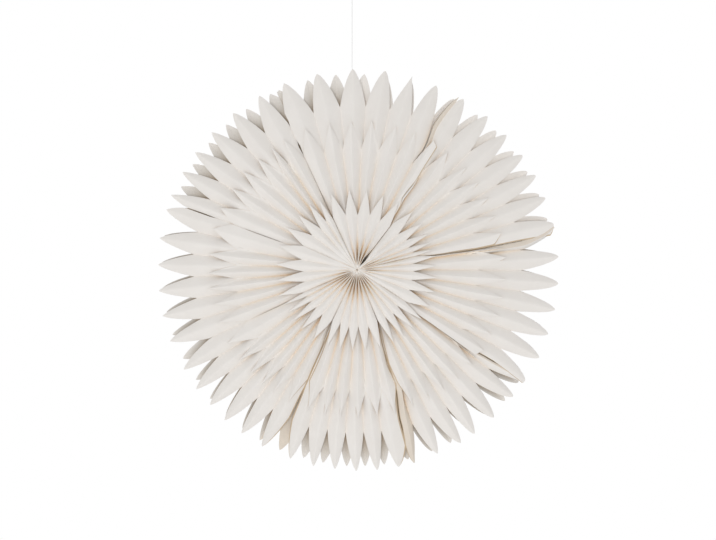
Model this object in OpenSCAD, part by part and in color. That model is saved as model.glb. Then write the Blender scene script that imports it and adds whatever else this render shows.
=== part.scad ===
// A layered paper star. Two faces are glued back to back, and each is three tiers of pleated paper
// fans with petals cut into their edges: a wide outer tier, a middle tier nested in its pleats, and a
// small inner tier that stands on the middle tier's crests. The star hangs from a thread.
//
// Millimetres. The star hangs in the X-Z plane with its front toward -Y and the origin at its centre.
// Angles run clockwise from the top as seen from the front, and a height is measured from the plane
// between the two faces. Each pleat has a crest, toward the viewer, and valleys on both sides of it.

/* [Outer tier] */
// Radius of the outer petals' tips
outer_tip_r = 250; // [225:1:300]
// Radius of the notches between the outer petals
outer_notch_r = 204; // [192:1:220]
// Height of the outer crests where they would meet at the centre
outer_crest_centre = 12; // [9:0.5:18]
// Height of the outer crests at the petals' tips
outer_crest_tip = 6; // [4:0.5:9]

/* [Middle tier] */
// Radius of the middle petals' tips
middle_tip_r = 187; // [170:1:200]
// Radius of the notches between the middle petals
middle_notch_r = 151; // [130:1:160]
// How far the middle petals' tips lift off the outer tier
middle_lift = 3; // [2:0.5:6]
// Radius of the opening at the middle of the outer and middle tiers
ring_hole_r = 24; // [20:1:40]

/* [Inner tier] */
// Radius of the inner petals' tips
inner_tip_r = 103; // [90:1:120]
// Radius of the notches between the inner petals
inner_notch_r = 72; // [60:1:80]
// Radius of the pinhole where the inner pleats are gathered
inner_hole_r = 4; // [3:0.5:8]
// Depth of the inner pleats at the pinhole
inner_depth_centre = 10; // [8:0.5:14]
// Depth of the inner pleats at the notches
inner_depth_notch = 7; // [5:0.5:10]
// How far the inner petals' tips lift above the line of their crests
inner_lift = 0.5; // [0:0.5:4]

/* [Paper] */
// Thickness of the paper
paper_t = 0.25; // [0.15:0.05:0.4]
// Clearance between sheets that lie on each other
sheet_gap = 0.2; // [0.1:0.05:0.4]
// Clearance between the two faces along their valley folds
face_gap = 0.3; // [0.1:0.05:0.6]
// Angle left open between neighbouring fans, in degrees
seam_gap = 0.6; // [0.2:0.1:1]
// How full the petals' sides are: 1 is a straight-sided point
petal_bow = 1.4; // [1.2:0.05:2.5]
// Straight edges along each side of a petal
petal_steps = 3; // [2:1:4]

/* [Fans] */
// Angle of the seam where the first front fan begins
front_start = -25; // [-40:1:0]
// Angle that each front fan takes, shared out over the full turn
front_share = [56, 47, 45, 43, 38, 41, 45, 45];
// Width of each front fan's first panel, as a part of a full panel
front_first = [0.83, 0.15, 0.35, 0.1, 0.67, 1, 1, 0.57];
// Width of each front fan's last panel, as a part of a full panel
front_last = [0.1, 0.3, 0.1, 0.65, 1, 1, 0.57, 1];
// Angle of the seam where the first rear fan begins
rear_start = -24.2; // [-40:0.2:0]
// Angle that each rear fan takes, shared out over the full turn
rear_share = [50.2, 52.1, 46.6, 43.9, 38.1, 39.9, 44.9, 44.3];
// Width of each rear fan's first panel, as a part of a full panel
rear_first = [0.1, 1, 0.1, 0.1, 1, 1, 1, 1];
// Width of each rear fan's last panel, as a part of a full panel
rear_last = [0.68, 0.75, 0.58, 1, 1, 1, 1, 0.32];
// Pleats between the first and the last crest of each outer and middle fan
fan_pleats = [6, 6, 6, 6, 5, 5, 5, 5];
// How much wider each front outer and middle fan's pleats are at its start than at its end
front_spread = [0.2, 0.08, 0, 0, -0.05, 0, -0.07, -0.15];
// How much wider each rear outer and middle fan's pleats are at its start than at its end
rear_spread = [0.14, 0.02, 0.04, -0.07, -0.14, -0.16, -0.06, -0.1];
// Angle that each inner fan takes, shared out over the full turn
inner_share = [62.5, 39.5, 46, 35, 48, 41, 47, 41];
// Pleats between the first and the last crest of each inner fan
inner_pleats = [4, 4, 4, 3, 4, 4, 3, 3];
// How much wider each inner fan's pleats are at its start than at its end
inner_spread = [0.05, 0.6, -0.35, 0, 0.12, 0.5, -0.2, 0.4];
// Turn of the rear inner tier against the front one
rear_inner_turn = 3; // [-5:0.5:5]

/* [Thread] */
// Diameter of the thread
thread_d = 0.5; // [0.3:0.05:0.8]
// Width of the hanging loop
loop_w = 7; // [4:0.5:12]
// Height of the hanging loop above its knot
loop_h = 26; // [15:1:40]
// Clearance between the loop's two legs at the knot
leg_gap = 0.1; // [0.05:0.05:0.2]
// Diameter of the knot
knot_d = 1.8; // [1.7:0.1:2.4]
// Height of the knot
knot_h = 1.2; // [0.8:0.1:1.4]

/* [Hidden] */
FANS = 8;

// How each tier is divided into fans: start, shares, pleats, first panels, last panels, spread
whole_panels = [for (i = [1 : FANS]) 1];
front_fans = [front_start, front_share, fan_pleats, front_first, front_last, front_spread];
rear_fans = [rear_start, rear_share, fan_pleats, rear_first, rear_last, rear_spread];
front_inner_fans = [front_start, inner_share, inner_pleats, whole_panels, whole_panels, inner_spread];
rear_inner_fans = [
    front_start + rear_inner_turn, inner_share, inner_pleats, whole_panels, whole_panels, inner_spread
];

// The thread's route: inside the fold of the top petal, out at its tip, and straight up
thread_route = [
    [-4.8, -6.6, 194], [-5, -6.4, 203], [-5.2, -6.2, 212], [-5.4, -6, 221], [-5.65, -5.8, 230],
    [-5.85, -5.6, 238], [-6, -5.45, 245], [-6.1, -5.4, 252], [-6.1, -5.4, 262], [-6.1, -5.4, 276],
    [-6.1, -5.4, 290], [-6.1, -5.4, 304], [-6.1, -5.4, 318], [-6.1, -5.4, 332], [-6.1, -5.4, 345]
];
thread_top = thread_route[len(thread_route) - 1];
thread_sides = 8;
loop_steps = 18;
// Largest value of sin(a) * sin(a / 2)^2, which draws the loop's drop shape
drop_peak = 0.65;
// Straight length of the loop's legs as they leave the knot
loop_leg = 0.5;
// How far along the inner pleats, from the pinhole to the notches, their slant has its extra section
inner_bend = 0.37;

function total(values, count) = count == 0 ? 0 : values[count - 1] + total(values, count - 1);
function between(a, b, part) = a + (b - a) * part;
function unit(v) = v / norm(v);

// A point at radius r and angle a, with height h over the plane between the faces
function place(r, a, h) = [r * sin(a), -h, r * cos(a)];

// Half the mean width of a pleat at radius r, where a tier's folds share the full turn
function half_pleat(r, folds) = 2 * r * sin(180 / folds);

// Height through the paper on a pleat's sloping side, for pleats of this depth over all
function slant(r, folds, depth) =
    let (w = half_pleat(r, folds), room = w * w - paper_t * paper_t, swing = paper_t * depth)
    paper_t * (sqrt(swing * swing + room * (w * w + depth * depth)) - swing) / room;

function panel_sum(fans) = total([for (i = [0 : FANS - 1]) 2 * fans[2][i] + fans[3][i] + fans[4][i]], FANS);

// The tiers' sections at radius r: [radius, underside of the valley, top of the crest, slant]
function outer_section(r) =
    let (
        crest = between(outer_crest_centre, outer_crest_tip, r / outer_tip_r),
        valley = face_gap / 2
    )
    [r, valley, crest, slant(r, panel_sum(front_fans), crest - valley)];

function middle_section(r) =
    let (below = outer_section(r), rise = below[3] + sheet_gap)
    [r, below[1] + rise, below[2] + rise, below[3]];

function inner_section(r) =
    let (
        hub = middle_section(ring_hole_r)[2],
        rim = middle_section(middle_notch_r)[2],
        valley = between(hub, rim, (r - ring_hole_r) / (middle_notch_r - ring_hole_r)) + sheet_gap,
        part = (r - inner_hole_r) / (inner_notch_r - inner_hole_r),
        depth = between(inner_depth_centre, inner_depth_notch, part)
    )
    [r, valley, valley + depth, slant(r, panel_sum(front_inner_fans), depth)];

// A tier: [sections from the hole to the notches, tip radius, height of the crest at the tip]
outer_tier = [
    [for (r = [ring_hole_r, middle_notch_r, outer_notch_r]) outer_section(r)],
    outer_tip_r, outer_crest_tip
];
middle_tier = [
    [for (r = [ring_hole_r, middle_notch_r]) middle_section(r)],
    middle_tip_r, middle_section(middle_tip_r)[2] + middle_lift
];
inner_tier = [
    [for (part = [0, inner_bend, 1]) inner_section(between(inner_hole_r, inner_notch_r, part))],
    inner_tip_r, inner_section(inner_tip_r)[2] + inner_lift
];

// The folds of fan i: [angle, depth], where depth is 0 on a crest and 1 in a valley
function fold_lines(fans, i) =
    let (
        turn = 360 / total(fans[1], FANS),
        start = fans[0] + turn * total(fans[1], i) + seam_gap / 2,
        span = turn * fans[1][i] - seam_gap,
        crests = 2 * fans[2][i],
        first = fans[3][i],
        last = fans[4][i],
        width = first + crests + last,
        along = [0, for (k = [0 : crests]) first + k, width],
        depths = [first, for (k = [0 : crests]) k % 2, last]
    )
    [for (k = [0 : len(along) - 1])
        let (part = along[k] / width)
        [start + span * (part + fans[5][i] * part * (1 - part)), depths[k]]];

// Points along a petal's cut side, from the notch to the tip, on the panel beside one crest.
// Each panel of a petal is flat: it holds the crest's line and the panel's far corner at the notch.
function petal_side(crest, side, section, tip_r, tip_h) =
    let (
        notch_r = section[0],
        swing = side[0] - crest[0],
        fall = (tip_h - section[2]) / (tip_r - notch_r),
        corner_h = section[2] - side[1] * (section[2] - section[3] - section[1]),
        corner_crest = section[2] + fall * (notch_r * cos(swing) - notch_r),
        slope = (corner_crest - corner_h) / (notch_r * abs(sin(swing)))
    )
    [for (k = [1 : petal_steps - 1])
        let (
            out = sin(90 * k / petal_steps),
            part = min(side[1], 1 - pow(out, petal_bow)) / side[1],
            r = between(notch_r, tip_r, out),
            h = section[2] + fall * (r * cos(swing * part) - notch_r) - slope * r * abs(sin(swing * part))
        )
        place(r, crest[0] + swing * part, h)];

// One fan of pleated paper, as a closed sheet of even thickness. Its top is built from the fold
// lines' points, the tips and the petals' sides, and its underside is the same, one slant lower.
module pleated_fan(fans, tier, i) {
    folds = fold_lines(fans, i);
    sections = tier[0];
    notch = sections[len(sections) - 1];
    rings = len(sections);
    panels = len(folds) - 1;
    cuts = petal_steps - 1;
    body = [for (fold = folds, s = sections) place(s[0], fold[0], s[2] - fold[1] * (s[2] - s[3] - s[1]))];
    tips = [for (k = [1 : 2 : panels - 1]) place(tier[1], folds[k][0], tier[2])];
    sides = [for (p = [0 : panels - 1], point = petal_side(
        folds[p + 1 - p % 2], folds[p + p % 2], notch, tier[1], tier[2])) point];
    top = concat(body, tips, sides);
    body_drop = [for (fold = folds, s = sections) s[3]];
    under = [for (k = [0 : len(top) - 1])
        top[k] + [0, k < len(body) ? body_drop[k] : notch[3], 0]];

    function at(line, ring) = line * rings + ring;
    function tip_of(p) = len(body) + floor(p / 2);
    function side_of(p) = [for (k = [0 : cuts - 1]) len(body) + len(tips) + p * cuts + k];
    // A panel's cut edge from its far corner to the tip, and its petal's corner on the crest
    function edge_of(p) = concat([at(p + p % 2, rings - 1)], side_of(p), [tip_of(p)]);
    function crest_of(p) = at(p + 1 - p % 2, rings - 1);

    even_body = [for (p = [0 : 2 : panels - 1], s = [0 : rings - 2], flip = [0, 1])
        flip == 0 ? [at(p, s), at(p, s + 1), at(p + 1, s + 1)] : [at(p, s), at(p + 1, s + 1), at(p + 1, s)]];
    odd_body = [for (p = [1 : 2 : panels - 1], s = [0 : rings - 2], flip = [0, 1])
        flip == 0 ? [at(p, s), at(p, s + 1), at(p + 1, s)] : [at(p, s + 1), at(p + 1, s + 1), at(p + 1, s)]];
    petals = [for (p = [0 : panels - 1], k = [0 : cuts])
        let (edge = edge_of(p))
        p % 2 == 0 ? [crest_of(p), edge[k], edge[k + 1]] : [crest_of(p), edge[k + 1], edge[k]]];
    sheet = concat(even_body, odd_body, petals);

    // The sheet's rim, clockwise as seen from the front
    rim = concat(
        [for (s = [0 : rings - 2]) at(0, s)],
        [for (p = [0 : panels - 1])
            let (edge = edge_of(p))
            for (k = [0 : cuts]) p % 2 == 0 ? edge[k] : edge[cuts + 1 - k]],
        [for (s = [rings - 1 : -1 : 1]) at(panels, s)],
        [for (line = [panels : -1 : 1]) at(line, 0)]
    );
    count = len(top);
    walls = [for (k = [0 : len(rim) - 1], flip = [0, 1])
        let (a = rim[k], b = rim[(k + 1) % len(rim)])
        flip == 0 ? [b, a, a + count] : [b, a + count, b + count]];
    lining = [for (f = sheet) [f[0] + count, f[2] + count, f[1] + count]];
    polyhedron(points = concat(top, under), faces = concat(sheet, lining, walls));
}

module front_outer_fan(i) { color("ivory") pleated_fan(front_fans, outer_tier, i); }
module front_middle_fan(i) { color("ivory") pleated_fan(front_fans, middle_tier, i); }
module front_inner_fan(i) { color("ivory") pleated_fan(front_inner_fans, inner_tier, i); }
module rear_outer_fan(i) { color("linen") mirror([0, 1, 0]) pleated_fan(rear_fans, outer_tier, i); }
module rear_middle_fan(i) { color("linen") mirror([0, 1, 0]) pleated_fan(rear_fans, middle_tier, i); }
module rear_inner_fan(i) { color("linen") mirror([0, 1, 0]) pleated_fan(rear_inner_fans, inner_tier, i); }

// A round tube along points that lie near the X-Z plane
module tube(points, d) {
    last = len(points) - 1;
    rings = [for (k = [0 : last])
        let (
            along = unit(points[min(k + 1, last)] - points[max(k - 1, 0)]),
            across = unit(cross(along, [0, 1, 0])),
            other = cross(across, along)
        )
        for (s = [0 : thread_sides - 1])
            let (a = 360 * (s + 0.5) / thread_sides)
            points[k] + d / 2 * (cos(a) * across + sin(a) * other)];
    walls = [for (k = [0 : last - 1], s = [0 : thread_sides - 1])
        let (n = (s + 1) % thread_sides, low = k * thread_sides, high = low + thread_sides)
        [low + s, high + s, high + n, low + n]];
    start = [for (s = [0 : thread_sides - 1]) s];
    end = [for (s = [thread_sides - 1 : -1 : 0]) last * thread_sides + s];
    polyhedron(points = rings, faces = concat([start], walls, [end]));
}

module hanging_thread() { color("whitesmoke") tube(thread_route, thread_d); }

// A knot with flat ends, where the thread comes in below and the loop's two legs leave above
module thread_knot() {
    color("whitesmoke")
        translate(thread_top + [0, 0, knot_h / 2])
        intersection() {
            sphere(d = knot_d, $fn = 32);
            cube([knot_d, knot_d, knot_h], center = true);
        }
}

// A drop-shaped loop whose legs leave the knot side by side
module thread_loop() {
    base = thread_top + [0, 0, knot_h];
    leg = [(thread_d + leg_gap) / 2, 0, 0];
    drop = [for (k = [0 : loop_steps])
        let (
            a = 360 * k / loop_steps,
            swell = sin(a) * pow(sin(a / 2), 2) / drop_peak,
            rise = loop_leg + (loop_h - loop_leg) * (1 - cos(a)) / 2
        )
        base + leg * cos(a / 2) + [loop_w / 2 * swell, 0, rise]];
    color("whitesmoke") tube(concat([base + leg], drop, [base - leg]), thread_d);
}

for (i = [1 : FANS]) {
    front_outer_fan(i - 1);
    front_middle_fan(i - 1);
    front_inner_fan(i - 1);
    rear_outer_fan(i - 1);
    rear_middle_fan(i - 1);
    rear_inner_fan(i - 1);
}
hanging_thread();
thread_knot();
thread_loop();
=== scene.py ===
"""The looks of the layered paper star: pleated paper fans, the thread, materials and light."""

import math
import random

import bpy
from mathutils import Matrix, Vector


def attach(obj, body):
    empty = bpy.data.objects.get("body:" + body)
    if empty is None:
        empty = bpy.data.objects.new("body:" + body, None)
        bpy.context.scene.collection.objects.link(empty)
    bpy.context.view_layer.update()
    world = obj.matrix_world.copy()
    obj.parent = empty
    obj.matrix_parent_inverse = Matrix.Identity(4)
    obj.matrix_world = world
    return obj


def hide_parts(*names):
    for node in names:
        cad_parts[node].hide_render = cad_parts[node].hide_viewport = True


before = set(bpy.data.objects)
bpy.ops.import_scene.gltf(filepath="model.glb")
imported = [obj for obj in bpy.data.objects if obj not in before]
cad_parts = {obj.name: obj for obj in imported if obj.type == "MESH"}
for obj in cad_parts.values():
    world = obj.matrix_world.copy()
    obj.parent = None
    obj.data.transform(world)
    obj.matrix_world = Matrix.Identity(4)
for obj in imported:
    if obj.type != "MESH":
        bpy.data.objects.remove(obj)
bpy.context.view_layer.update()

MM = 0.001
FANS = 8

# The star's sizes in millimetres, as in the solids
OUTER_TIP_R, OUTER_NOTCH_R = 250, 204
OUTER_CREST_CENTRE, OUTER_CREST_TIP = 12, 6
MIDDLE_TIP_R, MIDDLE_NOTCH_R, MIDDLE_LIFT = 187, 151, 3
RING_HOLE_R = 24
INNER_TIP_R, INNER_NOTCH_R, INNER_HOLE_R = 103, 72, 4
INNER_DEPTH_CENTRE, INNER_DEPTH_NOTCH, INNER_LIFT = 10, 7, 0.5
PAPER_T, SHEET_GAP, FACE_GAP, SEAM_GAP = 0.25, 0.2, 0.3, 0.6

FRONT = {
    "start": -25,
    "share": [56, 47, 45, 43, 38, 41, 45, 45],
    "pleats": [6, 6, 6, 6, 5, 5, 5, 5],
    "first": [0.83, 0.15, 0.35, 0.1, 0.67, 1, 1, 0.57],
    "last": [0.1, 0.3, 0.1, 0.65, 1, 1, 0.57, 1],
    "spread": [0.2, 0.08, 0, 0, -0.05, 0, -0.07, -0.15],
}
REAR = {
    "start": -24.2,
    "share": [50.2, 52.1, 46.6, 43.9, 38.1, 39.9, 44.9, 44.3],
    "pleats": [6, 6, 6, 6, 5, 5, 5, 5],
    "first": [0.1, 1, 0.1, 0.1, 1, 1, 1, 1],
    "last": [0.68, 0.75, 0.58, 1, 1, 1, 1, 0.32],
    "spread": [0.14, 0.02, 0.04, -0.07, -0.14, -0.16, -0.06, -0.1],
}
# The front middle tier has slid over the outer one, so its fourth seam lies a fold further back
FRONT_MIDDLE = dict(
    FRONT, share=[56, 47, 45, 38, 43, 41, 45, 45], pleats=[6, 6, 6, 5, 5, 5, 5, 5],
    first=[0.83, 0.15, 0.35, 0.1, 1, 1, 1, 0.57], last=[0.1, 0.3, 0.1, 1, 1, 1, 0.57, 1],
)
FRONT_INNER = {
    "start": -25,
    "share": [62.5, 39.5, 46, 35, 48, 41, 47, 41],
    "pleats": [4, 4, 4, 3, 4, 4, 3, 3],
    "first": [1] * FANS,
    "last": [1] * FANS,
    "spread": [0.05, 0.6, -0.35, 0, 0.12, 0.5, -0.2, 0.4],
}
REAR_INNER = dict(FRONT_INNER, start=-22)

# How far each front outer petal's tip leans off its fold, in degrees, fan by fan
OUTER_LEAN = [
    [-0.9, -0.9, 0.2, 0.8, 0.4, 0.1],
    [0.2, 0, 0.5, 0.4, 0.2, -0.3, -0.5, 0.2],
    [-0.5, -0.4, 0.1, 0.4, 0.5, 0.5, 1],
    [-0.3, -1.2, 0.3, 0.8, -1.1, -0.5, 0.3],
    [-0.2, -0.3, -0.6, -0.9, -1.2, -0.9],
    [0.6, 0.9, 0.2, -0.5, -1.2, -1.3],
    [0.2, 0.4, 0.2, 0, -0.2, 0.1],
    [-0.3, 0.2, -0.3, -0.5, -0.3, 0.3],
]

# The same for the first rear fan, whose petals show between the front ones
REAR_LEAN = [0, 0.2, 0.3, 0.7, -0.9, -0.5, -0.6]

# How far each front middle fan's inside valleys have slid over the outer tier, in degrees
MIDDLE_SLIDE = [
    [-0.1, -0.9, -1.1, -1.2, -0.4, 0.7],
    [-2.3, -0.9, -1.4, -1.1, -0.8, -0.7],
    [-1.8, -0.2, 0.1, 0.2, 0.3, 0.5],
    [-1.1, -0.2, 0.3, 0.3, 0],
    [0.2, 0.95, 1.3, 0.65, -0.7],
    [-0.1, -0.9, -1.4, -2.1, -2.7],
    [0, -0.5, -1.9, -3.1, -3.8],
    [3.3, 4, 4.8, 4.6, 1.4],
]

# How far the seam before each front fan stands open, in degrees at radii in mm. Elsewhere the
# edges lap.
OPENINGS = {
    "outer": [
        [(158, 0), (164, 0.8), (174, 0.7), (180, 0), (198, 0), (206, 0.7), (236, 1.3), (252, 1.6)],
        [(140, 0), (150, 0.35), (164, 0.7), (184, 0.7), (204, 0.4), (236, 0.35), (244, 0.5)],
        [(150, 0.1), (170, 0.28), (200, 0.34), (232, 0.3), (246, 0)],
        [(146, 0.15), (192, 0.3), (222, 0.35), (244, 0.2)],
        [(150, 0.2), (188, 0.35), (222, 0.35), (244, 0.4)],
        [(160, 0), (180, 0.5), (206, 0.8), (252, 1.5)],
        [(200, 0.2), (240, 0.6), (252, 1)],
        [(190, 0.3), (226, 0.6), (252, 1.2)],
    ],
    "middle": [
        [(78, 0), (82, 0.9), (98, 0.8), (104, 0.2), (140, 0.1), (150, 0)],
        [(96, 0), (99, 1.3), (108, 1.5), (126, 1), (136, 0)],
        [(74, 0.5), (110, 0.8), (132, 0.9), (150, 0.5)],
        [(104, 0), (116, 0.2), (150, 0.2)],
        [(70, 0.6), (86, 1.1), (120, 0.9), (150, 0.7)],
        [(66, 0.6), (84, 1.3), (130, 1.2), (150, 0.5)],
        [(90, 0), (96, 0.3), (130, 0.4), (150, 0)],
        [(96, 0), (104, 0.4), (140, 0.4), (150, 0)],
    ],
    "inner": [
        [(14, 0), (20, 0.5), (60, 0.4), (72, 0.5)],
        [(5, 0), (8, 8), (12, 15), (16, 11), (21, 4.5), (25, 1.6), (34, 0.7), (72, 0.6)],
        [(20, 0), (30, 0.4), (60, 0.2), (72, 0)],
        [(30, 0), (40, 0.2), (60, 0)],
        [(40, 0), (56, 0.5), (72, 0.8)],
        [(40, 0), (60, 0.4), (72, 0.7)],
        [(20, 0), (40, 0.3), (60, 0)],
        [(20, 0), (36, 0.3), (60, 0)],
    ],
}
LAP = 0.36

# How deep the inner tier's pleats still are near the hub, as a share, by degrees round the star
HUB_DEPTH = [
    (0, 0.9), (24, 0.85), (36, 0.7), (42, 0.12), (54, 0.2), (66, 0.4), (78, 0.22), (92, 0.45),
    (106, 0.2), (124, 0.2), (138, 0.5), (152, 0.75), (185, 0.85), (212, 0.7), (232, 0.55),
    (258, 0.5), (268, 0.25), (282, 0.12), (326, 0.06), (340, 0.3), (360, 0.9),
]

# The thread's route, as in the solids
THREAD_ROUTE = [
    (-4.8, -6.6, 194), (-5, -6.4, 203), (-5.2, -6.2, 212), (-5.4, -6, 221), (-5.65, -5.8, 230),
    (-5.85, -5.6, 238), (-6, -5.45, 245), (-6.1, -5.4, 252), (-6.1, -5.4, 262), (-6.1, -5.4, 276),
    (-6.1, -5.4, 290), (-6.1, -5.4, 304), (-6.1, -5.4, 318), (-6.1, -5.4, 332), (-6.1, -5.4, 345),
]
THREAD_D, KNOT_H, LOOP_W, LOOP_H, LEG_GAP = 0.5, 1.2, 7, 26, 0.1
# The tied knot's strands: half their spread sideways and upwards, in mm, and their depth's share
KNOT_WIDE, KNOT_HIGH, KNOT_DEEP = 0.2, 0.18, 1.2
# Where the loop opens above its knot, in mm, and the greatest value of its outline's formula
LOOP_START, LOOP_FULL = 0.5, 0.65
ROUND_STEPS = 48

# The inner tier's pleats: their share of the full depth in the hub and towards the rim, the radii
# in mm over which each share is reached, and how much of the lost depth the crests sink
INNER_HUB_SHARE, INNER_HUB_R = 0.01, (5, 14)
INNER_RIM_SHARE, INNER_RIM_R = 0.62, (20, 44)
INNER_CREST_DROP = 0.3


def between(a, b, part):
    return a + (b - a) * part


def smooth(low, high, x):
    t = min(1, max(0, (x - low) / (high - low)))
    return t * t * (3 - 2 * t)


def panel_sum(fans):
    return sum(2 * fans["pleats"][i] + fans["first"][i] + fans["last"][i] for i in range(FANS))


def slant(r, folds, depth):
    w = 2 * r * math.sin(math.pi / folds)
    room, swing = w * w - PAPER_T**2, PAPER_T * depth
    return PAPER_T * (math.sqrt(swing * swing + room * (w * w + depth * depth)) - swing) / room


def outer_section(r):
    crest = between(OUTER_CREST_CENTRE, OUTER_CREST_TIP, r / OUTER_TIP_R)
    return FACE_GAP / 2, crest, slant(r, panel_sum(FRONT), crest - FACE_GAP / 2)


def middle_section(r):
    valley, crest, thick = outer_section(r)
    rise = thick + SHEET_GAP
    return valley + rise, crest + rise, thick


def inner_section(r):
    hub, rim = middle_section(RING_HOLE_R)[1], middle_section(MIDDLE_NOTCH_R)[1]
    valley = between(hub, rim, (r - RING_HOLE_R) / (MIDDLE_NOTCH_R - RING_HOLE_R)) + SHEET_GAP
    part = (r - INNER_HOLE_R) / (INNER_NOTCH_R - INNER_HOLE_R)
    depth = between(INNER_DEPTH_CENTRE, INNER_DEPTH_NOTCH, part)
    at_hub = between(INNER_HUB_SHARE, 1, smooth(*INNER_HUB_R, r))
    shown = depth * at_hub * between(1, INNER_RIM_SHARE, smooth(*INNER_RIM_R, r))
    top = valley + depth - INNER_CREST_DROP * (depth - shown)
    return top - shown, top, slant(max(r, INNER_HOLE_R), panel_sum(FRONT_INNER), shown)


OUTER = {
    "section": outer_section, "hole": RING_HOLE_R, "notch": OUTER_NOTCH_R, "tip": OUTER_TIP_R,
    "tip_h": OUTER_CREST_TIP,
}
MIDDLE = {
    "section": middle_section, "hole": RING_HOLE_R, "notch": MIDDLE_NOTCH_R, "tip": MIDDLE_TIP_R,
    "tip_h": middle_section(MIDDLE_TIP_R)[1] + MIDDLE_LIFT,
}
INNER = {
    "section": inner_section, "hole": 0.8, "notch": INNER_NOTCH_R, "tip": INNER_TIP_R,
    "tip_h": inner_section(INNER_TIP_R)[1] + INNER_LIFT,
}


def fold_lines(fans, i):
    turn = 360 / sum(fans["share"])
    start = fans["start"] + turn * sum(fans["share"][:i]) + SEAM_GAP / 2
    span = turn * fans["share"][i] - SEAM_GAP
    crests = 2 * fans["pleats"][i]
    first, last, spread = fans["first"][i], fans["last"][i], fans["spread"][i]
    width = first + crests + last
    along = [0] + [first + k for k in range(crests + 1)] + [width]
    depths = [first] + [k % 2 for k in range(crests + 1)] + [last]
    lines = []
    for p, d in zip(along, depths):
        part = p / width
        lines.append((start + span * (part + spread * part * (1 - part)), d))
    return lines


# Panels beside the seams with painted warm shade: rear, tier, fan, panel
SEAM_WARM_SHADE_PANELS = {
    (False, "outer", 1, 0), (False, "outer", 1, 1), (False, "outer", 2, 0), (False, "outer", 3, 0),
    (False, "outer", 3, 12), (False, "outer", 3, 13),
    (True, "outer", 4, 10), (True, "outer", 4, 11), (True, "outer", 5, 0),
}

# Front seams with brown edges, by tier and seam: the edge before the seam, the edge after it
BROWN_SEAM_EDGES = {
    ("outer", 1): (0, 1), ("outer", 2): (1, 0), ("outer", 3): (1, 0), ("outer", 4): (1, 1),
    ("outer", 5): (1, 1), ("middle", 1): (1, 0), ("middle", 2): (1, 0), ("middle", 3): (0, 1),
    ("middle", 4): (1, 1), ("middle", 5): (1, 1),
}

# The paper's looks, in the order of each sheet's material slots: plain, painted shade, painted warm
# shade beside seams, and brown seam edges
PLAIN, SHADED, SEAM_WARM_SHADE, BROWN_EDGE = range(4)
# The paper inside the star is plain, without the painted shade, from this angle on and over this
# span, in degrees: the rear petals there are bright in the photo
LIT_FROM, LIT_SPAN = -5, 85

# Faces across a panel, along its body and along its petal, and how they crowd: above 1, towards
# the hub or the notches
COLUMNS = 8
BODY_ROWS = {"outer": 16, "middle": 14, "inner": 18}
ROW_POWER = {"outer": 1, "middle": 1, "inner": 1.5}
PETAL_ROWS, PETAL_ROW_POWER = 12, 1.05
# The least depth of a part pleat, and of a petal's width at its tip, as shares
DEPTH_MIN, TIP_WIDTH = 0.1, 0.02
REAR_INNER_HOLE = 0.05
# A seam that opens nowhere: its first radius is past the tips
CLOSED = [(400, 0)]

# Shares of a pleat's height, and the radii in mm over which each gives way: the outer tier lies
# low under the middle one, the middle one is shallower under the inner one, and the inner tier's
# pleats go over from HUB_DEPTH to a share of their own
OUTER_LOW_SHARE, OUTER_LOW_R = 0.12, (136, 172)
MIDDLE_LOW_SHARE, MIDDLE_LOW_R = 0.78, (112, 146)
INNER_SHARE, INNER_SHARE_R = 0.8, (26, 50)
# Radii in mm over which the hub's forms come in, its crests turn uneven, and the middle tier's
# folds slide. The unevenness is a multiple of CREST_RISE.
HUB_R, HUB_MIDDLE_R, SLIDE_R = (30, 8), (2, 9), (24, 66)
HUB_UNEVEN = 1.6
# Angles between faces from which an edge looks sharp, in degrees
SHARP_FOLD = 38

# The tips' lean starts at this share of the notch radius, and grows with this power
LEAN_START, LEAN_POWER = 0.8, 1.6
# Outer tips: their unevenness, how far the star lies off its centre and towards which angle, and
# how much shorter the front and rear ones are, in mm
UNEVEN_SHARE, OFF_CENTRE, OFF_CENTRE_TOWARDS, FRONT_SHORTER, REAR_SHORTER = 0.6, 1.4, 105, -0.5, 3.2
# Inner tips are shorter by this much, in mm, round this angle
INNER_SHORTER, INNER_SHORTER_AT = 3.5, 30

# Petal outlines: a power of the way to the tip, below 1 full and above 1 slim
OUTER_ARCH, OUTER_ARCH_SWING, OUTER_ARCH_SPREAD = 0.685, 0.08, 0.04
MIDDLE_ARCH, MIDDLE_ARCH_RISE, MIDDLE_SLIM_AT = (0.92, 1.12), 0.4, 190
INNER_ARCH = (1.05, 1.21)
# One slim petal of the first front outer fan
SLIM_PANELS, SLIM_ARCH = (8, 9), 1.05
# Where the first front outer fan's last valley now lies, and how deep it is
MOVED_VALLEY = (31, 0.55)

# How much of a fold's fall is a straight crease, and the power of the round shoulder beside it,
# away from the hub and at the hub
CREASE, HUB_CREASE, SHOULDER, HUB_SHOULDER = 0.68, 0.2, 2, 2.6
CREASE_ROUNDING = 0.025
# How much each panel bows, as a share of its width, and the widest panel that counts, in mm
BOW, BOW_WIDTH = 0.03, 9
# How far a fan's last edge stands off and its first edge dips at a seam, in mm
LAST_EDGE_RISE, FIRST_EDGE_DIP = 0.45, 0.3
# A seam's opening runs on this far past its last radius, in mm, and one narrower than this, in
# degrees, counts as closed
OPENING_END, OPENING_MIN = 8, 0.02

# Ranges of the random draws: lean in degrees, the rest in mm or shares
NOTCH_UNEVEN = {"outer": (-1.2, 1.2), "middle": (-1.2, 1.2), "inner": (-6, 0.5)}
TIP_LEAN, TIP_SHORTER, TIP_LIFT, TIP_CURL = (-0.6, 0.6), (0.2, 2.4), (-0.6, 0.6), (-0.7, 0.5)
BOWED, SWAY, CREST_RISE = (0.3, 1.0), (0.05, 0.3), (-0.5, 0.5)
# The folds' sway: how far its wave runs, in radians, and the radius in mm where it is full
SWAY_WAVE, SWAY_FULL_R = 5, 40
# The bow grows over these radii, in mm, and the least depth it counts with
BOW_R, BOW_DEPTH_MIN = (20, 90), 0.3
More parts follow.
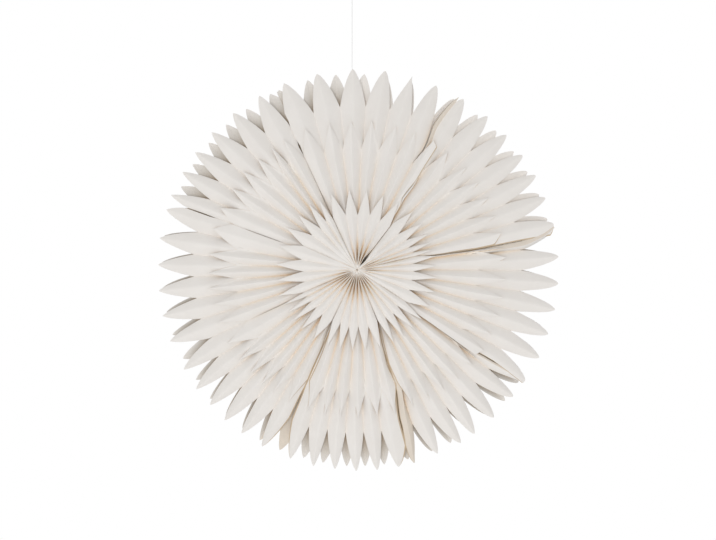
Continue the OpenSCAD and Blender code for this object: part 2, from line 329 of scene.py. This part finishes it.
# A middle sheet looks for the outer ones under it this far past their edges, in degrees
SHEET_REACH_DEG = 10

# How far a front fold wanders off its line, in degrees at radii in mm: tier, fan, fold
BENDS = {
    ("outer", 1, 0): [(145, 0.4), (169, 2.3), (185, 2), (209, 0.2), (232, -0.4), (248, -0.9)],
    ("outer", 1, 1): [(150, -0.6), (185, -1.4), (199, -2.4), (221, -1.9), (239, -1), (250, 0)],
    ("outer", 1, 2): [(150, 0), (185, -0.6), (199, -1.7), (221, -1.2), (239, -0.6), (250, 0)],
    ("outer", 2, 0): [(160, 2.4), (212, 2), (235, 1), (247, -0.6)],
    ("outer", 2, 1): [(160, 2.6), (212, 2.4), (238, 0.6), (250, -1)],
    ("outer", 3, 0): [(140, 2.9), (190, 1.2), (237, 0.3)],
    ("outer", 3, 1): [(140, 3.1), (190, 1.5), (237, 0.4)],
    ("outer", 3, 13): [(150, -4.6), (188, -2.1), (222, -1.2), (243, -0.4)],
    ("outer", 4, 0): [(150, -4.6), (188, -2), (222, -1.8), (245, -1.1)],
    ("middle", 1, 0): [(66, 4.5), (78, 4.2), (99, 3.2), (106, 1.8), (129, 2.9), (171, 1.3)],
    ("middle", 2, 0): [(76, 0.3), (102, 1.7), (137, 2.2), (160, 2.4)],
    ("middle", 3, 0): [(100, 3), (144, 2.9)],
    ("middle", 4, 0): [(72, -3), (94, -0.6), (125, 1), (150, -0.4), (187, 1.5)],
    ("middle", 5, 0): [(72, 1.6), (110, -0.5), (150, -0.3)],
}
for fan in (1, 2, 3):
    BENDS["middle", fan, 1] = BENDS["middle", fan, 0]


def read_off(points, at):
    """The value at a place on a line through points."""
    if at <= points[0][0]:
        return points[0][1]
    for (a0, v0), (a1, v1) in zip(points, points[1:]):
        if at <= a1:
            return between(v0, v1, (at - a0) / (a1 - a0))
    return points[-1][1]


def fold_profile(x, crease, power):
    """How far the sheet has fallen at part x of the way from a crest to a valley."""
    e = CREASE_ROUNDING
    line = (math.sqrt(x * x + e * e) - e) / (math.sqrt(1 + e * e) - e)
    return crease * line + (1 - crease) * x**power


def opening(points, r):
    """How far a seam is open at radius r, in degrees, where a closed seam laps."""
    last_r, last_opening = points[-1]
    if r <= points[0][0] or r >= last_r + OPENING_END:
        return -LAP
    if r > last_r:
        return last_opening
    width = read_off(points, r)
    return width if width > OPENING_MIN else -LAP


def crest_and_valley(p):
    """The folds at the two sides of panel p."""
    return p + 1 - p % 2, p + p % 2


# The height of each outer sheet, by front and rear, for the middle sheets that lie on them
OUTER_SHEETS = {False: [], True: []}


def outer_height(rear, r, degrees):
    return max(height_at(r, degrees) for height_at in OUTER_SHEETS[rear])


def fan_sheet(name, fans, tier, kind, i, rear):
    """One pleated fan. Angles are in degrees clockwise from the top, and lengths in mm."""
    rng = random.Random(name)
    folds = fold_lines(fans, i)
    if kind == "outer" and not rear:
        # The first fan's last petal has come away with the second fan
        if i == 0:
            folds = folds[:-2]
        elif i == 1:
            folds = fold_lines(fans, 0)[-3:-1] + [MOVED_VALLEY] + folds[1:]
    panels = len(folds) - 1
    section, hole, notch, tip = tier["section"], tier["hole"], tier["notch"], tier["tip"]
    hole = REAR_INNER_HOLE if rear and kind == "inner" else hole
    verts, drops, faces, outside, inside = [], [], [], [], []
    seams = [CLOSED] * FANS if rear else OPENINGS[kind]
    seam_before, seam_after = seams[i], seams[(i + 1) % FANS]

    slide = [0.0] * len(folds)
    if kind == "middle" and not rear:
        slid = dict(zip(range(2, panels, 2), MIDDLE_SLIDE[i]))
        for k in range(1, panels):
            slide[k] = slid[k] if k in slid else (slid.get(k - 1, 0) + slid.get(k + 1, 0)) / 2

    notch_r = [notch + rng.uniform(*NOTCH_UNEVEN[kind]) for _ in folds]
    tips = {}
    for c in range(1, panels, 2):
        if kind == "outer" and not rear:
            lean = OUTER_LEAN[i][(c - 1) // 2]
        else:
            lean = rng.uniform(*TIP_LEAN)
            if kind == "outer" and i == 0:
                lean = REAR_LEAN[(c - 1) // 2]
        shorter = rng.uniform(*TIP_SHORTER)
        if kind == "outer":
            off = OFF_CENTRE * math.cos(math.radians(folds[c][0] - OFF_CENTRE_TOWARDS))
            shorter = shorter * UNEVEN_SHARE - off + (REAR_SHORTER if rear else FRONT_SHORTER)
        elif kind == "inner":
            shorter += INNER_SHORTER * max(0, math.cos(math.radians(folds[c][0] - INNER_SHORTER_AT)))
        tips[c] = {
            "lean": lean,
            "r": tip - shorter,
            "h": tier["tip_h"] + rng.uniform(*TIP_LIFT),
            "curl": rng.uniform(*TIP_CURL),
        }
    belly_of = [rng.uniform(*BOWED) for _ in range(panels)]
    arch_of = []
    for k in range(panels):
        if kind == "outer":
            arch = OUTER_ARCH - OUTER_ARCH_SWING * math.sin(math.radians(folds[k][0]))
            arch_of.append(arch + rng.uniform(-OUTER_ARCH_SPREAD, OUTER_ARCH_SPREAD))
        elif kind == "middle":
            slim = max(0, math.cos(math.radians(folds[k][0] - MIDDLE_SLIM_AT)))
            arch_of.append(rng.uniform(*MIDDLE_ARCH) + MIDDLE_ARCH_RISE * slim)
        else:
            arch_of.append(rng.uniform(*INNER_ARCH))
    if kind == "outer" and i == 0 and not rear:
        for k in SLIM_PANELS:
            arch_of[k] = SLIM_ARCH
    phase = [rng.uniform(0, 6.28) for _ in folds]
    sway = [rng.uniform(*SWAY) for _ in folds]
    rise_of = [rng.uniform(*CREST_RISE) for _ in folds]

    def line_angle(k, r):
        a = folds[k][0]
        bend = (kind, (i + 1) % FANS, 0) if k == panels else (kind, i, k)
        if not rear and bend in BENDS:
            a += read_off(BENDS[bend], r)
        cut = kind == "outer" and not rear and (i, k) in ((0, panels), (1, 0))
        edge = 0 if cut else SEAM_GAP / 2
        if k == 0:
            return a - edge + opening(seam_before, r) / 2
        if k == panels:
            return a + edge - opening(seam_after, r) / 2
        a += slide[k] * smooth(*SLIDE_R, r)
        if r < notch:
            reach = (r - hole) / (notch - hole)
            wave = sway[k] * math.sin(phase[k] + SWAY_WAVE * reach)
            a += wave * math.sin(math.pi * reach) * min(1, r / SWAY_FULL_R)
        lean_r = notch * LEAN_START
        if k in tips and r > lean_r:
            reach = (r - lean_r) / (tip - lean_r)
            a += tips[k]["lean"] * reach**LEAN_POWER
        return a

    def point(p, r, x):
        """On panel p at radius r, part x of the way from the crest to the far fold."""
        c, v = crest_and_valley(p)
        depth = folds[v][1]
        base = min(r, notch)
        crest_a = line_angle(c, r)
        swing = line_angle(v, base) - (line_angle(c, base) if r > notch else crest_a)
        low, high, thick = section(base)
        if kind == "outer":
            share = between(OUTER_LOW_SHARE, 1, smooth(*OUTER_LOW_R, base))
            high = between(low + thick, high, share)
        out = max(0, (r - notch) / (tip - notch))
        top = between(high, tips[c]["h"], out) if out > 0 else high
        full = (high - thick - low) * (r / base)
        if kind == "inner":
            hub = smooth(*HUB_R, r)
            top += rise_of[c] * hub * smooth(*HUB_MIDDLE_R, r) * HUB_UNEVEN
            at_hub = read_off(HUB_DEPTH, (crest_a + swing * x) % 360)
            full *= between(at_hub, INNER_SHARE, smooth(*INNER_SHARE_R, r))
            crease, shoulder = between(CREASE, HUB_CREASE, hub), between(SHOULDER, HUB_SHOULDER, hub)
            fall = fold_profile(x * depth, crease, shoulder) * full
        else:
            if kind == "middle":
                full *= between(MIDDLE_LOW_SHARE, 1, smooth(*MIDDLE_LOW_R, base))
            fall = fold_profile(x * depth, CREASE, SHOULDER) * full
        wide = 2 * r * math.radians(abs(swing)) / max(depth, BOW_DEPTH_MIN)
        belly = belly_of[p] * BOW * min(wide, BOW_WIDTH)
        belly = belly * math.sin(math.pi * min(1, x * depth)) * smooth(*BOW_R, r)
        h = top - fall + belly
        if out > 0:
            h += tips[c]["curl"] * out**2
        if v == panels:
            h += LAST_EDGE_RISE * x * x
        elif v == 0:
            h -= FIRST_EDGE_DIP * x * x
        a = math.radians(crest_a + swing * x)
        h = max(h, FACE_GAP / 2 + thick)
        if kind == "middle":
            h = max(h, outer_height(rear, r, crest_a + swing * x) + thick + SHEET_GAP)
        return (r * math.sin(a), -h, r * math.cos(a)), thick

    def height_at(r, degrees):
        """How far this sheet stands out at a radius inside its notches. 0 off its paper."""
        start = folds[0][0] - SHEET_REACH_DEG
        degrees = (degrees - start) % 360 + start
        if degrees > folds[-1][0] + SHEET_REACH_DEG:
            return 0
        highest = 0
        for p in range(panels):
            c, v = crest_and_valley(p)
            crest_a = line_angle(c, r)
            swing = line_angle(v, r) - crest_a
            x = (degrees - crest_a) / swing if swing else -1
            if 0 <= x <= 1:
                highest = max(highest, -point(p, r, x)[0][1])
        return highest

    if kind == "outer":
        OUTER_SHEETS[rear].append(height_at)

    body_rows = BODY_ROWS[kind]
    grid = {}

    def vertex(p, row, col):
        c, v = crest_and_valley(p)
        if col == 0:
            key = ("crest", c, row)
        elif col == COLUMNS and row <= body_rows:
            key = ("valley", v, row)
        else:
            key = (p, row, col)
        if key in grid:
            return grid[key]
        base = between(notch, notch_r[v], col / COLUMNS)
        if row <= body_rows:
            reach = (row / body_rows) ** ROW_POWER[kind]
            r = between(hole, base, reach)
            x = col / COLUMNS
        else:
            out = math.sin(math.pi / 2 * (row - body_rows) / PETAL_ROWS) ** PETAL_ROW_POWER
            r = between(base, tips[c]["r"], out)
            depth = max(folds[v][1], DEPTH_MIN)
            x = min(depth, max((1 - out) ** arch_of[p], TIP_WIDTH)) / depth * col / COLUMNS
        co, thick = point(p, r, x)
        grid[key] = len(verts)
        verts.append(co)
        drops.append(thick)
        return grid[key]

    first_browned = not rear and BROWN_SEAM_EDGES.get((kind, i), (0, 0))[1]
    last_browned = not rear and BROWN_SEAM_EDGES.get((kind, (i + 1) % FANS), (0, 0))[0]
    for p in range(panels):
        seam_warm_shaded = (rear, kind, i, p) in SEAM_WARM_SHADE_PANELS
        lit = (folds[p][0] - LIT_FROM) % 360 < LIT_SPAN
        browned = (p == 0 and first_browned) or (p == panels - 1 and last_browned)
        for row in range(body_rows + PETAL_ROWS):
            for col in range(COLUMNS):
                here = [(row, col), (row, col + 1), (row + 1, col + 1), (row + 1, col)]
                quad = [vertex(p, *place) for place in here]
                if p % 2 == 0:
                    quad.reverse()
                faces.append(quad)
                # Outside faces: brown strips on the last column at some seams, and painted warm
                # shade on the listed seam panels
                if browned and col == COLUMNS - 1:
                    outside.append(BROWN_EDGE)
                else:
                    outside.append(SEAM_WARM_SHADE if seam_warm_shaded and not rear else PLAIN)
                # Inside faces: painted warm shade on the listed seam panels, plain paper where lit,
                # and painted shade elsewhere
                inside.append(SEAM_WARM_SHADE if seam_warm_shaded else PLAIN if lit else SHADED)
    return sheet_object(name, verts, drops, faces, outside, inside, rear)


def sheet_object(name, verts, drops, faces, outside, inside, rear):
    """A paper sheet: its top, its underside, and a rim that closes the cut edges.

    outside and inside give the looks of the faces that look out of the star and into it.
    """
    count = len(verts)
    under = [(x, y + t, z) for (x, y, z), t in zip(verts, drops)]
    edges = set()
    for f in faces:
        edges.update(zip(f, f[1:] + f[:1]))
    rim = [(a, b) for (a, b) in edges if (b, a) not in edges]
    every = faces + [[k + count for k in reversed(f)] for f in faces]
    every += [[b, a, a + count, b + count] for a, b in sorted(rim)]
    if rear:
        every = [list(reversed(f)) for f in every]
    sign = -1 if rear else 1
    mesh = bpy.data.meshes.new(name)
    mesh.from_pydata([(x * MM, y * MM * sign, z * MM) for x, y, z in verts + under], [], every)
    mesh.validate()
    mesh.polygons.foreach_set("use_smooth", [True] * len(mesh.polygons))
    mesh.set_sharp_from_angle(angle=math.radians(SHARP_FOLD))
    obj = bpy.data.objects.new(name, mesh)
    bpy.context.collection.objects.link(obj)
    for look in (paper, paper_shaded, paper_seam_warm_shade, paper_brown_edge):
        mesh.materials.append(look)
    looks = outside + inside
    mesh.polygons.foreach_set("material_index", looks + [PLAIN] * (len(every) - len(looks)))
    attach(obj, "root")
    return obj


# The paper's two shades, thin and dense
PAPER_SHADES = (0.862, 0.826, 0.786), (0.893, 0.862, 0.826)
# How far off other paper counts, in metres, for the painted warm shade in folds and for the painted
# shade inside the star
FOLD_REACH, SHEET_REACH = 0.012, 0.03
# Painted shade tints, from sheltered to free
WARM_SHADE_STOPS = (
    (0, (0.55, 0.39, 0.22, 1)), (0.1, (0.95, 0.81, 0.61, 1)),
    (0.4, (0.97, 0.935, 0.89, 1)), (0.8, (1, 1, 1, 1)),
)
INSIDE_SHADE_STOPS = (0.02, (0.4, 0.26, 0.13, 1)), (0.2, (0.62, 0.53, 0.42, 1))


def new_material(name):
    m = bpy.data.materials.new(name)
    m.use_nodes = True
    nodes, links = m.node_tree.nodes, m.node_tree.links
    shader = nodes["Principled BSDF"]
    return m, nodes, links, shader


def set_stops(ramp, stops):
    while len(ramp.color_ramp.elements) < len(stops):
        ramp.color_ramp.elements.new(0.5)
    for stop, (position, shade) in zip(ramp.color_ramp.elements, stops):
        stop.position, stop.color = position, shade


def noise(nodes, links, coord, scale, detail):
    made = nodes.new("ShaderNodeTexNoise")
    made.inputs["Scale"].default_value = scale
    made.inputs["Detail"].default_value = detail
    links.new(coord.outputs["Object"], made.inputs["Vector"])
    return made


def bump(nodes, links, height, strength, distance):
    made = nodes.new("ShaderNodeBump")
    made.inputs["Strength"].default_value = strength
    made.inputs["Distance"].default_value = distance
    links.new(height, made.inputs["Height"])
    return made


def multiply(nodes, links, first, second):
    """The product of two colours."""
    mix = nodes.new("ShaderNodeMix")
    mix.data_type = "RGBA"
    mix.blend_type = "MULTIPLY"
    mix.inputs["Factor"].default_value = 1
    links.new(first, mix.inputs["A"])
    links.new(second, mix.inputs["B"])
    return mix.outputs["Result"]


def occlusion_shade(nodes, links, distance, stops):
    """Painted shade: a colour by how much of the space within a distance other paper takes up, from
    ambient occlusion.
    """
    free = nodes.new("ShaderNodeAmbientOcclusion")
    free.samples = 6
    free.inputs["Distance"].default_value = distance
    ramp = nodes.new("ShaderNodeValToRGB")
    set_stops(ramp, stops)
    links.new(free.outputs["AO"], ramp.inputs["Fac"])
    return ramp.outputs["Color"]


def paper_material(name, inside=None, tint=(1, 1, 1)):
    """White paper multiplied by tint, with painted warm shade in its folds. With inside, painted
    shade turns it to that colour where sheets lie over it.
    """
    m, nodes, links, shader = new_material(name)
    coord = nodes.new("ShaderNodeTexCoord")
    cloud = noise(nodes, links, coord, 38, 4)
    fibre = noise(nodes, links, coord, 900, 5)
    fibre.inputs["Roughness"].default_value = 0.65
    fibre.inputs["Distortion"].default_value = 1.5
    ramp = nodes.new("ShaderNodeValToRGB")
    thin, dense = ([c * a for c, a in zip(shade, tint)] for shade in PAPER_SHADES)
    set_stops(ramp, ((0.3, (*thin, 1)), (0.7, (*dense, 1))))
    blend = nodes.new("ShaderNodeMath")
    blend.operation = "MULTIPLY_ADD"
    blend.inputs[1].default_value = 0.35
    links.new(fibre.outputs["Fac"], blend.inputs[0])
    scale = nodes.new("ShaderNodeMath")
    scale.operation = "MULTIPLY"
    scale.inputs[1].default_value = 0.65
    links.new(cloud.outputs["Fac"], scale.inputs[0])
    links.new(scale.outputs[0], blend.inputs[2])
    links.new(blend.outputs[0], ramp.inputs["Fac"])
    # Painted warm shade: folds and notches are tinted warmer and darker where other paper is near,
    # in place of the light that has passed from sheet to sheet
    fold_warm_shade = occlusion_shade(nodes, links, FOLD_REACH, WARM_SHADE_STOPS)
    look = multiply(nodes, links, ramp.outputs["Color"], fold_warm_shade)
    # Painted shade: with inside, the colour turns grey and brown where other sheets lie within
    # SHEET_REACH
    if inside:
        stops = (*INSIDE_SHADE_STOPS, (0.42, (*inside, 1)), (0.95, (1, 1, 1, 1)))
        look = multiply(nodes, links, look, occlusion_shade(nodes, links, SHEET_REACH, stops))
    links.new(look, shader.inputs["Base Color"])
    rough = nodes.new("ShaderNodeMapRange")
    rough.inputs["To Min"].default_value = 0.78
    rough.inputs["To Max"].default_value = 0.95
    links.new(fibre.outputs["Fac"], rough.inputs["Value"])
    links.new(rough.outputs["Result"], shader.inputs["Roughness"])
    shader.inputs["Specular IOR Level"].default_value = 0.25
    grain = bump(nodes, links, fibre.outputs["Fac"], 0.25, 0.00008)
    soft = noise(nodes, links, coord, 55, 1)
    buckle = bump(nodes, links, soft.outputs["Fac"], 0.3, 0.0006)
    links.new(buckle.outputs["Normal"], grain.inputs["Normal"])
    links.new(grain.outputs["Normal"], shader.inputs["Normal"])
    return m


def thread_material():
    m, nodes, links, shader = new_material("star_thread")
    coord = nodes.new("ShaderNodeTexCoord")
    twist = nodes.new("ShaderNodeTexWave")
    twist.bands_direction = "DIAGONAL"
    twist.inputs["Scale"].default_value = 900
    twist.inputs["Distortion"].default_value = 1.2
    links.new(coord.outputs["Object"], twist.inputs["Vector"])
    ramp = nodes.new("ShaderNodeValToRGB")
    ramp.color_ramp.elements[0].color = (0.7, 0.7, 0.68, 1)
    ramp.color_ramp.elements[1].color = (0.86, 0.86, 0.84, 1)
    links.new(twist.outputs["Color"], ramp.inputs["Fac"])
    links.new(ramp.outputs["Color"], shader.inputs["Base Color"])
    strands = bump(nodes, links, twist.outputs["Color"], 0.5, 0.00006)
    links.new(strands.outputs["Normal"], shader.inputs["Normal"])
    shader.inputs["Roughness"].default_value = 0.6
    shader.inputs["Sheen Weight"].default_value = 0.3
    return m


paper = paper_material("star_paper")
# Painted shade, for the faces that look into the star
paper_shaded = paper_material("star_paper_inside", (0.66, 0.64, 0.6))
# Painted warm shade, for the panels beside some seams
paper_seam_warm_shade = paper_material("star_paper_aged", tint=(0.9, 0.845, 0.77))
# Brown strips on the panel edges at some seams
paper_brown_edge = paper_material("star_paper_stained", tint=(0.7, 0.58, 0.43))
thread_look = thread_material()


def thread_curve(name, points, cyclic=False):
    data = bpy.data.curves.new(name, "CURVE")
    data.dimensions = "3D"
    data.bevel_depth = THREAD_D / 2 * MM
    data.bevel_resolution = 3
    data.use_fill_caps = not cyclic
    spline = data.splines.new("POLY")
    spline.points.add(len(points) - 1)
    for target, (x, y, z) in zip(spline.points, points):
        target.co = (x * MM, y * MM, z * MM, 1)
    spline.use_cyclic_u = cyclic
    spline.use_smooth = True
    obj = bpy.data.objects.new(name, data)
    bpy.context.collection.objects.link(obj)
    data.materials.append(thread_look)
    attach(obj, "root")
    return obj


thread = thread_curve("thread", THREAD_ROUTE)
top = THREAD_ROUTE[-1]
knot_points = []
for k in range(ROUND_STEPS):
    t = 2 * math.pi * k / ROUND_STEPS
    knot_points.append((
        top[0] + KNOT_WIDE * (math.sin(t) + 2 * math.sin(2 * t)),
        top[1] - KNOT_WIDE * math.sin(3 * t) * KNOT_DEEP,
        top[2] + KNOT_H / 2 + KNOT_HIGH * (math.cos(t) - 2 * math.cos(2 * t)),
    ))
knot = thread_curve("thread_knot_tied", knot_points, cyclic=True)
leg = (THREAD_D + LEG_GAP) / 2
loop_points = [(top[0] + leg, top[1], top[2] + KNOT_H)]
for k in range(ROUND_STEPS + 1):
    a = 2 * math.pi * k / ROUND_STEPS
    loop_points.append((
        top[0] + leg * math.cos(a / 2) + LOOP_W / 2 * math.sin(a) * math.sin(a / 2) ** 2 / LOOP_FULL,
        top[1],
        top[2] + KNOT_H + LOOP_START + (LOOP_H - LOOP_START) * (1 - math.cos(a)) / 2,
    ))
loop_points.append((top[0] - leg, top[1], top[2] + KNOT_H))
loop = thread_curve("thread_loop_tied", loop_points)
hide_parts("hanging_thread")
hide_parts("thread_knot")
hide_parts("thread_loop")

for rear, face in ((False, "front"), (True, "rear")):
    for kind, tier in (("outer", OUTER), ("middle", MIDDLE), ("inner", INNER)):
        if kind == "inner":
            fans = REAR_INNER if rear else FRONT_INNER
        elif kind == "middle":
            fans = REAR if rear else FRONT_MIDDLE
        else:
            fans = REAR if rear else FRONT
        for i in range(FANS):
            node = f"{face}_{kind}_fan_{i + 1}"
            fan = fan_sheet(f"{node}_paper", fans, tier, kind, i, rear)
            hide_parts(node)


def white_for_camera(name, strength, shade):
    """A plain pale surface that shows white to the camera, but keeps part of its own shading."""
    m, nodes, links, shader = new_material(name)
    shader.inputs["Base Color"].default_value = (0.9, 0.9, 0.9, 1)
    shader.inputs["Roughness"].default_value = 0.9
    glow = nodes.new("ShaderNodeEmission")
    glow.inputs["Strength"].default_value = strength
    path = nodes.new("ShaderNodeLightPath")
    fac = nodes.new("ShaderNodeMath")
    fac.operation = "MULTIPLY"
    fac.inputs[1].default_value = shade
    links.new(path.outputs["Is Camera Ray"], fac.inputs[0])
    mix = nodes.new("ShaderNodeMixShader")
    links.new(fac.outputs[0], mix.inputs["Fac"])
    links.new(shader.outputs[0], mix.inputs[1])
    links.new(glow.outputs[0], mix.inputs[2])
    links.new(mix.outputs[0], nodes["Material Output"].inputs["Surface"])
    return m


bpy.ops.mesh.primitive_circle_add(vertices=96, radius=1.6, fill_type="NGON", location=(0, 0, -0.95))
floor = bpy.context.object
floor.name = "studio_floor"
floor.data.materials.append(white_for_camera("studio_floor_pale", 1.0, 0.7))

world = bpy.data.worlds.new("studio")
bpy.context.scene.world = world
world.use_nodes = True
wn, wl = world.node_tree.nodes, world.node_tree.links
back = wn["Background"]
back.inputs["Color"].default_value = (1, 1, 1, 1)
back.inputs["Strength"].default_value = 0.4
shown = wn.new("ShaderNodeBackground")
shown.inputs["Color"].default_value = (1, 1, 1, 1)
shown.inputs["Strength"].default_value = 1.0
path = wn.new("ShaderNodeLightPath")
mix = wn.new("ShaderNodeMixShader")
wl.new(path.outputs["Is Camera Ray"], mix.inputs["Fac"])
wl.new(back.outputs[0], mix.inputs[1])
wl.new(shown.outputs[0], mix.inputs[2])
wl.new(mix.outputs[0], wn["World Output"].inputs["Surface"])


def area_lamp(name, place, size, watts):
    data = bpy.data.lights.new(name, "AREA")
    data.shape = "DISK"
    data.size = size
    data.energy = watts
    obj = bpy.data.objects.new(name, data)
    bpy.context.collection.objects.link(obj)
    obj.location = place
    obj.rotation_euler = (-Vector(place)).to_track_quat("-Z", "Y").to_euler()
    return obj


area_lamp("front_key", (-0.25, -2.6, -0.15), 1.3, 32)
area_lamp("back_soft", (0.3, 2.4, 0.8), 1.6, 30)

camera_data = bpy.data.cameras.new("camera")
camera = bpy.data.objects.new("camera", camera_data)
bpy.context.collection.objects.link(camera)
# The size of a photo pixel at the star, the photo's size, and the star's centre in it
PX = 1.25 * MM
PHOTO_W, PHOTO_H = 716, 540
STAR_X, STAR_Y = 357, 269.7
DISTANCE = 1.5
SENSOR = 36
camera_data.sensor_width = SENSOR
camera_data.lens = SENSOR * DISTANCE / (PHOTO_W * PX)
camera_data.clip_start, camera_data.clip_end = 0.05, 30
camera.location = ((PHOTO_W / 2 - STAR_X) * PX, -DISTANCE, (STAR_Y - PHOTO_H / 2) * PX)
camera.rotation_euler = (math.radians(90), 0, 0)
bpy.context.scene.camera = camera

bpy.context.scene.view_settings.view_transform = "Standard"
bpy.context.scene.cycles.diffuse_bounces = 8
